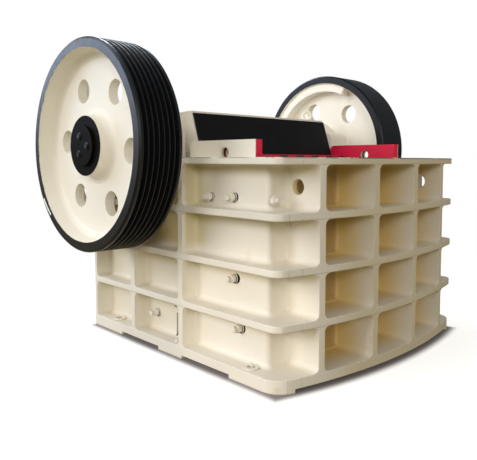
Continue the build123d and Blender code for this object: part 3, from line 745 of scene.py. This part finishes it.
def side_fillets():
    """Beads outside the right side wall, round its front edge, and along the front wall's outer
    strip. In the top tier they stop at the saddle that carries the bearing housing."""
    parts = []
    half = side_rib / 2
    strip_x = outer_rib_x + front_rib / 2
    edge_x, edge_y = wall_outer_x - wall_corner, wall_front_y + wall_corner
    turn = np.linspace(-np.pi / 2, 0, 9)
    out = np.stack([np.cos(turn), np.sin(turn), 0 * turn], 1)
    round_edge = np.array([edge_x, edge_y, 0]) + wall_corner * out
    first, second = side_rib_ys
    last = rear_y - end_rib
    path = np.concatenate([[[strip_x, wall_front_y, 0]], round_edge,
                           [[wall_outer_x, first - half, 0]]])
    outward = np.concatenate([[-Y], out, [X]])
    bays = [(first + half, second - half), (second + half, last)]
    for tier, (floor, ceiling) in enumerate(tier_levels()):
        top_tier = tier == tier_count - 1
        parts += level_beads(path, outward, floor, ceiling)
        parts.append(upright_bead(wall_outer_x, last, floor, ceiling, -Y, X))
        for start, end in bays:
            low = np.array([[wall_outer_x, start, floor], [wall_outer_x, end, floor]])
            parts.append(fillet_bead(low, X, Z))
            if top_tier and start < saddle_low < end:
                end = saddle_low
            if top_tier and start < saddle_high < end:
                start = saddle_high
            high = np.array([[wall_outer_x, start, ceiling], [wall_outer_x, end, ceiling]])
            parts.append(fillet_bead(high, X, -Z))
        for y in side_rib_ys:
            in_saddle = top_tier and saddle_low < y < saddle_high
            reach = shaft_z - saddle_half if in_saddle else ceiling
            for sign in (-1, 1):
                parts.append(upright_bead(wall_outer_x, y + sign * half, floor, reach,
                                          Y * sign, X))
    return parts


# Bolts

washer_radius, washer_height = 0.0230, 0.004
nut_radius, nut_height = 0.0190, 0.021
rod_radius, rod_end = 0.0125, 0.043
thread_step, thread_depth = 0.0011, 0.0006


def stud_set(place, axis):
    """Washer, hexagon nut and threaded rod end on a face, the rod with shallow turned ridges."""
    nut_top = washer_height + nut_height
    ridges = np.arange(nut_top, rod_end - 0.003, thread_step)
    thread = [[along, rod_radius - thread_depth * (i % 2)] for i, along in enumerate(ridges)]
    washer = [[-seat_sink, washer_radius], [washer_height - 0.0006, washer_radius],
              [washer_height, washer_radius - 0.0008]]
    nut = [[washer_height, nut_radius - 0.0015], [washer_height + 0.0015, nut_radius],
           [nut_top - 0.0025, nut_radius], [nut_top, nut_radius - 0.003]]
    rod = [[nut_top - 0.001, rod_radius]] + thread + \
        [[rod_end - 0.0015, rod_radius], [rod_end, rod_radius - 0.002]]
    return [turned_solid(washer, place, axis, 32),
            turned_solid(nut, place, axis, 48, flats=6),
            turned_solid(rod, place, axis, 24)]


def hexagon_screw(place, axis, size, height):
    """Hexagon screw head on a thin washer face, with a chamfered crown."""
    face = 0.002
    washer_face = [[-seat_sink, size * 1.25], [face - 0.0004, size * 1.25], [face, size * 1.18]]
    head = [[face, size], [height - 0.0015, size], [height, size * 0.84]]
    return [turned_solid(washer_face, place, axis, 32),
            turned_solid(head, place, axis, 48, flats=6)]


def screw_circle(x, radius, count, first_degrees, size, height):
    """Hexagon screws evenly round the shaft, on a face square to it."""
    parts = []
    for index in range(count):
        angle = math.radians(first_degrees + 360 / count * index)
        spot = [x, shaft_y + radius * math.cos(angle), shaft_z + radius * math.sin(angle)]
        parts += hexagon_screw(spot, X, size, height)
    return parts


def coil(place, axis, mean_radius, wire, length, turns):
    """Helix wire: a circle carried along mean radius times (cosine, sine) of the turn, rising
    evenly."""
    share = np.linspace(0, 1, int(turns * 28))
    spoke = spokes(share * turns * 2 * np.pi, axis)
    rise = wire + share * (length - 2 * wire)
    path = np.array(place) + mean_radius * spoke + rise[:, None] * np.array(axis)
    tangent = np.gradient(path, axis=0)
    tangent /= np.linalg.norm(tangent, axis=1, keepdims=True)
    side = np.cross(tangent, spoke)
    ring = (np.arange(12) * 2 * np.pi / 12)[None, :, None]
    points = path[:, None, :] + wire * (np.cos(ring) * spoke[:, None, :]
                                        - np.sin(ring) * side[:, None, :])
    rows, columns = points.shape[:2]
    return points.reshape(-1, 3), skin(rows, columns, flip=True) + end_faces(rows, columns, True)


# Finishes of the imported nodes

cream_casting = cast_cream("cream_casting")
cream_plates = cast_cream("cream_plates", plates=True)
cream_base = cast_cream("cream_base", plates=True, base=True)
cream_machined = machined_cream("cream_machined")
belt_wheel_paint = wheel_paint("belt_wheel_paint", grooved=True)
flywheel_paint = wheel_paint("flywheel_paint", grooved=False)
jaw_red = liner_paint("jaw_red")
moving_jaw_red = liner_paint("moving_jaw_red", header=True)
cheek_red = liner_paint("cheek_red", cheek=True)
guard_black = black_paint("guard_black", roughness=0.55, gloss=0.22)
disc_black = black_paint("disc_black", 0.5, 0.04, fresh=BROWN_BLACK, worn=BROWN_WORN)
screw_black = black_paint("screw_black", 0.35, 0.25, fresh=BROWN_BLACK, worn=BROWN_WORN)
# Black for the painted shade in the bolt holes and round washers and nuts
hole_shade_black = black_paint("hole_shade_black", roughness=0.8, gloss=0.1)
shaft_steel = turned_steel("shaft_steel")
rod_steel = turned_steel("rod_steel", rusty=0.12, roughness=0.42)
toggle_iron = bare_iron("toggle_iron")

# By the start of a node's name; the longest that fits counts
node_finish = {
    "front_wall": cream_casting, "rear_wall": cream_casting, "side_wall": cream_casting,
    "ribs": cream_casting, "toggle_beam": cream_casting,
    "top_flange": cream_plates, "shelves": cream_plates, "base_flange": cream_base,
    "bearing_housing": cream_machined, "bearing_cover": cream_machined,
    "lifting_eyes": cream_machined, "pitman": cream_machined, "counterweight": cream_machined,
    "fixed_jaw_plate": jaw_red, "moving_jaw_plate": moving_jaw_red, "cheek_plate": cheek_red,
    "guard_plate": guard_black, "end_disc": disc_black,
    "belt_wheel": belt_wheel_paint, "flywheel": flywheel_paint,
    "eccentric_shaft": shaft_steel, "tension_rods": rod_steel, "tension_springs": rod_steel,
    "toggle_plate": toggle_iron, "toggle_block": toggle_iron, "toggle_shims": rod_steel,
}
for node_name, node in frame["nodes"].items():
    kind = next(key for key in sorted(node_finish, key=len, reverse=True)
                if node_name.startswith(key))
    node.data.materials.clear()
    node.data.materials.append(node_finish[kind])


# Frame pieces

piece("front_fillets", front_fillets(), cream_casting, "frame")
piece_pair("side_fillets", "right", side_fillets(), cream_casting, "frame")
piece("rear_fillets", rear_fillets(), cream_casting, "frame")

# Wall bolts: distance back from the outer ribs' front edges, height, and how far the hole shows
wall_bolts = [(0.520, 0.7255, 0.004), (0.374, 0.7285, 0.009), (0.369, 0.390, 0.014),
              (0.331, 0.187, 0.010), (0.925, 0.141, 0.0)]
front_bolt = [-0.5735, wall_front_y, 0.725]
bolt_parts = stud_set(front_bolt, -Y)
for back, height, gap in wall_bolts:
    bolt_parts += stud_set([-wall_outer_x, front_edge_y + back, height], -X)
piece_pair("wall_bolts", "left", bolt_parts, cream_machined, "frame")


def wall_disc(back, height, foot, thickness, radius):
    """Thin disc that stands on the left wall, or at the height of its foot above the wall."""
    outline = [[foot - seat_sink, radius], [foot + thickness, radius]]
    return turned_solid(outline, [-wall_outer_x, front_edge_y + back, height], -X, 32)


# Painted shade: dark discs in the open part of the oversize holes in front of the washers, and dark
# rings round washers and nuts, for paint cracks and their shade: a little larger, moved forward and
# down
hole_radius, hole_shade_skin, hole_lift = 0.0205, 0.0012, 0.001
crack_and_shade_shift, crack_and_shade_skin = 0.0008, 0.0006
crack_and_shade_rings = ((0.0, washer_radius + 0.0005), (washer_height, nut_radius + 0.0008))
hole_shade_parts = []
for back, height, gap in wall_bolts:
    if gap:
        hole_shade_parts.append(wall_disc(back - gap, height + hole_lift, 0.0, hole_shade_skin, hole_radius))
    for foot, radius in crack_and_shade_rings:
        hole_shade_parts.append(wall_disc(back - crack_and_shade_shift, height - crack_and_shade_shift, foot, crack_and_shade_skin,
                                    radius))
piece_pair("bolt_hole_shade", "left", hole_shade_parts, hole_shade_black, "frame")

# Small studs on the base beside the foundation holes, and a shorter one near the narrow slot:
# distance from the centre plane, distance back and height
foot_studs = [(0.621, 0.230, 0.022), (0.613, 1.199, 0.022), (0.645, 0.702, 0.013)]
stud_radius, stud_crown = 0.0055, 0.0035
foot_parts = []
for x, back, high in foot_studs:
    stud = [[-seat_sink, stud_radius], [high - 0.0025, stud_radius], [high, stud_crown]]
    foot_parts.append(turned_solid(stud, [x, front_edge_y + back, base_z], Z, 20))
piece_pair("foot_studs", "right", foot_parts, cream_machined, "frame")

# Cover screws round each bearing, and the three cap screws on each end of the shaft
cover_parts = screw_circle(cover_outer_x, 0.138, 8, 22.5, size=0.013, height=0.009)
piece_pair("cover_screws", "right", cover_parts, cream_machined, "frame")
cap_parts = screw_circle(cap_outer_x, 0.046, 3, 64, size=0.014, height=0.007)
piece_pair("cap_screws", "right", cap_parts, screw_black, "rotor")


# Fillets inside the wheels

def wheel_fillets():
    """Rings that round the corners between web and rim, and between web and hub, on both sides."""
    parts = []
    centre = [0, shaft_y, shaft_z]
    arm_web = np.array([0.0, -1.0])
    for side, rim_x in ((-1, rim_inner_x), (1, wheel_outer_x)):
        face_x = web_x + side * web_half
        draft = np.array([rim_x - face_x, rim_inner_radius - rim_root_radius])
        arm_rim = draft / np.linalg.norm(draft)
        opening = math.acos(float(np.dot(arm_rim, arm_web)))
        weights = corner_arc(opening, rim_fillet, 8)
        corner = np.array([face_x, rim_root_radius]) - seat_sink * (arm_rim + arm_web)
        section = corner + weights[:, :1] * arm_rim + weights[:, 1:] * arm_web
        parts.append(turned_ring(section, centre, X, 120))
        weights = corner_arc(math.pi / 2, hub_fillet, 10)
        corner = np.array([face_x - side * seat_sink, hub_radius - seat_sink])
        parts.append(turned_ring(corner + weights * np.array([side, 1.0]), centre, X, 96))
    return parts


wheel_parts = wheel_fillets()
piece("flywheel_fillets", wheel_parts, flywheel_paint, "rotor")
piece("belt_wheel_fillets", mirrored(wheel_parts), belt_wheel_paint, "rotor")

# Coil springs with their end washers on the tension rods. They start at the side walls' rear
# ends, behind the node that they stand for, which starts at the rear wall's face
spring_low, spring_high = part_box("tension_springs")
rod_z = (spring_low.z + spring_high.z) / 2
seat_radius = (spring_high.z - spring_low.z) / 2
rod_x = spring_high.x - seat_radius
seat_height, seat_bore, seat_chamfer = 0.012, 0.028, 0.001
seat_ring = [[0, seat_bore], [0, seat_radius], [seat_height - seat_chamfer, seat_radius],
             [seat_height, seat_radius - seat_chamfer], [seat_height, seat_bore]]
spring_parts = []
for x in (-rod_x, rod_x):
    spring_parts.append(turned_ring(seat_ring, [x, side_wall_rear_y, rod_z], Y, 48))
    spring_parts.append(coil([x, side_wall_rear_y + seat_height, rod_z], Y,
                             mean_radius=0.0345, wire=0.0072, length=0.150, turns=6.5))
springs = piece("coil_springs", spring_parts, rod_steel, "frame", crease=50)
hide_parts("tension_springs")


# Floor, lamps and world

WHITE = (1, 1, 1, 1)
FLOOR_BOUNCE = (0.32, 0.26, 0.14, 1)
# Floor tint and lift inside the painted shadow band round the outline, and clear of it
FLOOR_PAINTED_SHADOW, FLOOR_CLEAR = (0.30, 0.27, 0.28, 1), (0.86, 0.86, 0.86, 1)
GLOW_PAINTED_SHADOW, GLOW_STRENGTH = (0.02, 0.02, 0.02, 1), 0.62
SOFT_LIGHT, SOFT_STRENGTH = (1.0, 0.965, 0.86, 1), 0.38
MIRROR_LIGHT, MIRROR_STRENGTH = (0.84, 0.91, 1.0, 1), 0.26


def floor_finish():
    """Pale floor that keeps the shadow, with a painted shadow band round the plates' outline, not
    beyond the right side or the rear; far from the machine the camera sees it plain white.
    """
    made = ShaderTree(bpy.data.materials.new("pale_floor"))
    x, y, z = made.place()
    plain_start, plain_end = 1.4, 2.8
    far = made.step((x * x + y * y) ** 0.5, plain_start, plain_end)
    # Painted shadow: darker and less lifted within a band round the outline, but not on the right
    # or at the rear
    shadow_start, shadow_end = -0.002, -0.055
    clear = made.step(made.outer_edge(x, y), shadow_start, shadow_end)
    clear = made.larger(clear, made.step(x, side_x - 0.03, side_x + 0.01))
    clear = made.larger(clear, made.step(y, rear_y - 0.03, rear_y + 0.01))
    tint = made.mixed(clear, FLOOR_PAINTED_SHADOW, FLOOR_CLEAR)
    glow = made.mixed(clear, GLOW_PAINTED_SHADOW, WHITE)
    pale = made.node("ShaderNodeBsdfDiffuse", None, {"Color": tint})
    lift = made.node("ShaderNodeEmission", None, {"Color": glow, "Strength": GLOW_STRENGTH})
    lifted = made.node("ShaderNodeAddShader", None, {0: pale, 1: lift})
    white = made.node("ShaderNodeEmission", None, {"Color": WHITE, "Strength": 1.0})
    shown = made.node("ShaderNodeMixShader", None, {0: far, 1: lifted, 2: white})
    bounce = made.node("ShaderNodeBsdfDiffuse", None, {"Color": FLOOR_BOUNCE})
    camera = made.node("ShaderNodeLightPath", output="Is Camera Ray")
    surface = made.node("ShaderNodeMixShader", None, {0: camera, 1: bounce, 2: shown})
    made.node("ShaderNodeOutputMaterial", None, {0: surface})
    return bpy.data.materials["pale_floor"]


def make_floor():
    mesh = bpy.data.meshes.new("floor")
    size = 40.0
    corners = [(-size, -size, 0), (size, -size, 0), (size, size, 0), (-size, size, 0)]
    mesh.from_pydata(corners, [], [(0, 1, 2, 3)])
    mesh.materials.append(floor_finish())
    floor = bpy.data.objects.new("floor", mesh)
    bpy.context.scene.collection.objects.link(floor)


def make_world():
    """Even soft light. The camera sees plain white, and mirror rays a dim, cooler one."""
    world = bpy.data.worlds.new("studio")
    bpy.context.scene.world = world
    made = ShaderTree(world)

    def sky(colour, strength):
        return made.node("ShaderNodeBackground", None, {"Color": colour, "Strength": strength})

    camera = made.node("ShaderNodeLightPath", output="Is Camera Ray")
    glossy = made.node("ShaderNodeLightPath", output="Is Glossy Ray")
    lit = made.node("ShaderNodeMixShader", None,
                    {0: glossy, 1: sky(SOFT_LIGHT, SOFT_STRENGTH),
                     2: sky(MIRROR_LIGHT, MIRROR_STRENGTH)})
    shown = made.node("ShaderNodeMixShader", None, {0: camera, 1: lit, 2: sky(WHITE, 1.0)})
    made.node("ShaderNodeOutputWorld", None, {0: shown})


def lamp(kind, name, place, aim, strength, colour, **settings):
    """Lamp at a place, shining towards another."""
    data = bpy.data.lights.new(name, kind)
    data.energy = strength
    data.color = colour
    for key, value in settings.items():
        setattr(data, key, value)
    made = bpy.data.objects.new(name, data)
    made.location = place
    made.rotation_euler = (Vector(place) - Vector(aim)).to_track_quat("Z", "Y").to_euler()
    bpy.context.scene.collection.objects.link(made)


make_floor()
make_world()
lamp("SUN", "key", (-5.1, 1.8, 2.2), (0, 0, 0.4), 1.21, (0.97, 0.98, 1.0),
     angle=math.radians(30))
lamp("SUN", "fill", (-3.2, -3.5, 2.0), (0, 0, 0.4), 0.88, (1.0, 0.97, 0.92),
     angle=math.radians(20))
lamp("SPOT", "low_light", (-2.8, -0.75, 1.05), (-0.59, -0.44, 0.17), 32, (1.0, 0.88, 0.74),
     spot_size=math.radians(21), spot_blend=0.6, shadow_soft_size=0.04)
lamp("AREA", "top_light", (-1.6, 1.2, 3.2), (-0.6, 0.2, 0.9), 18, (0.80, 0.90, 1.0), size=1.6)
lamp("AREA", "back_light", (1.4, 2.6, 2.9), (-0.83, 0.1, 1.2), 50, (0.80, 0.90, 1.0), size=1.5)
lamp("SPOT", "rim_light", (0.68, 2.45, 3.1), (-0.85, 0.12, 1.36), 420, (0.84, 0.92, 1.0),
     spot_size=math.radians(15), spot_blend=0.7, shadow_soft_size=1.0)
lamp("AREA", "window", (-3.4, 4.6, 2.4), (-0.9, 0.3, 1.2), 78, (0.66, 0.78, 1.0), size=2.0)


# Camera at the photograph's viewing angle

def make_camera():
    """Camera whose place, turn and lens were worked out from the edges of frame and wheels."""
    image_width, image_height = 477, 460
    axis_px = (251.03, 195.14)
    focal_px = 571.57
    yaw, pitch, roll = 0.7684, 0.0606, 0.0024
    place = Vector((-2.1828, front_edge_y - 1.3778, 0.881))
    ahead = Vector((math.sin(yaw) * math.cos(pitch), math.cos(yaw) * math.cos(pitch),
                    -math.sin(pitch)))
    level = Vector((math.cos(yaw), -math.sin(yaw), 0))
    above = level.cross(ahead)
    right = level * math.cos(roll) + above * math.sin(roll)
    up = above * math.cos(roll) - level * math.sin(roll)
    data = bpy.data.cameras.new("camera")
    data.sensor_width = 36.0
    data.lens = focal_px * data.sensor_width / image_width
    data.shift_x = -(axis_px[0] - image_width / 2) / image_width
    data.shift_y = (axis_px[1] - image_height / 2) / image_width
    camera = bpy.data.objects.new("camera", data)
    turn = Matrix((right, up, -ahead)).transposed().to_4x4()
    camera.matrix_world = Matrix.Translation(place) @ turn
    bpy.context.scene.collection.objects.link(camera)
    bpy.context.scene.camera = camera


make_camera()
bpy.context.scene.view_settings.view_transform = "Standard"
